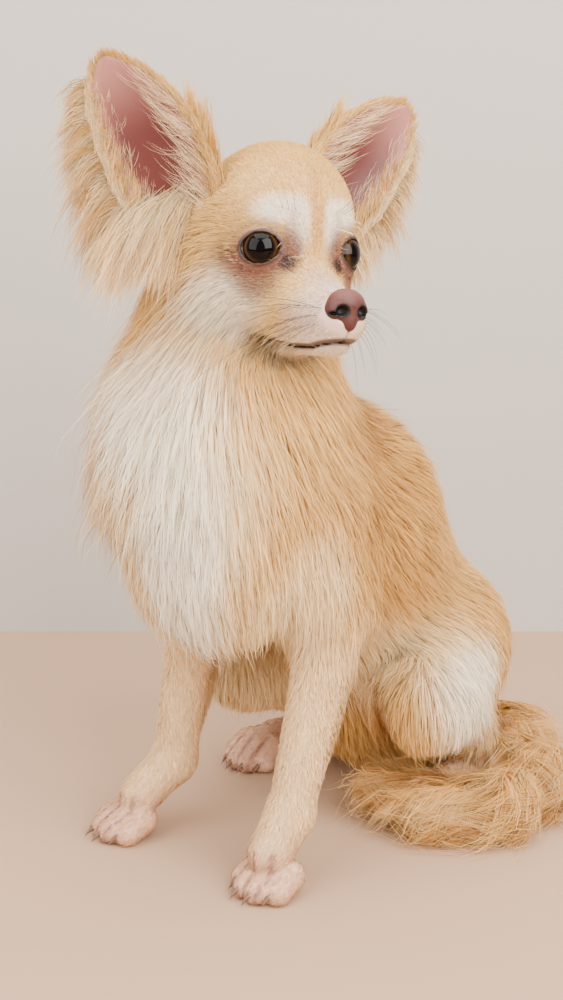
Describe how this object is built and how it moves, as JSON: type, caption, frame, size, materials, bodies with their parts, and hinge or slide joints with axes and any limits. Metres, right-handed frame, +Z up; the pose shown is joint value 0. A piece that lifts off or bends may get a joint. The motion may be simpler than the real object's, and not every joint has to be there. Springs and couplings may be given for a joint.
{
  "type": "sitting long-coated chihuahua",
  "caption": "Still, life-size model of a small long-coated fawn and cream chihuahua, sitting with its body to one side and its head turned to look over its shoulder.",
  "frame": {"origin": "on the floor, under the middle of the bounding box", "axes": "+Z up from the floor; the dog's body faces -Y and its left side is +X"},
  "size_m": [0.1734, 0.225, 0.3236],
  "materials": {
    "coat": "matt, long soft hair",
    "eye": "wet gloss",
    "nose": "moist satin"
  },
  "bodies": {
    "root": {"torso": "coat", "neck": "coat", "head": "coat", "ear_left": "coat", "ear_right": "coat", "tail_base": "coat", "tail_plume": "coat", "foreleg_left": "coat", "foreleg_right": "coat", "hindleg_left": "coat", "hindleg_right": "coat", "eye_left": "eye", "eye_right": "eye", "nose": "nose"}
  },
  "joints": []
}
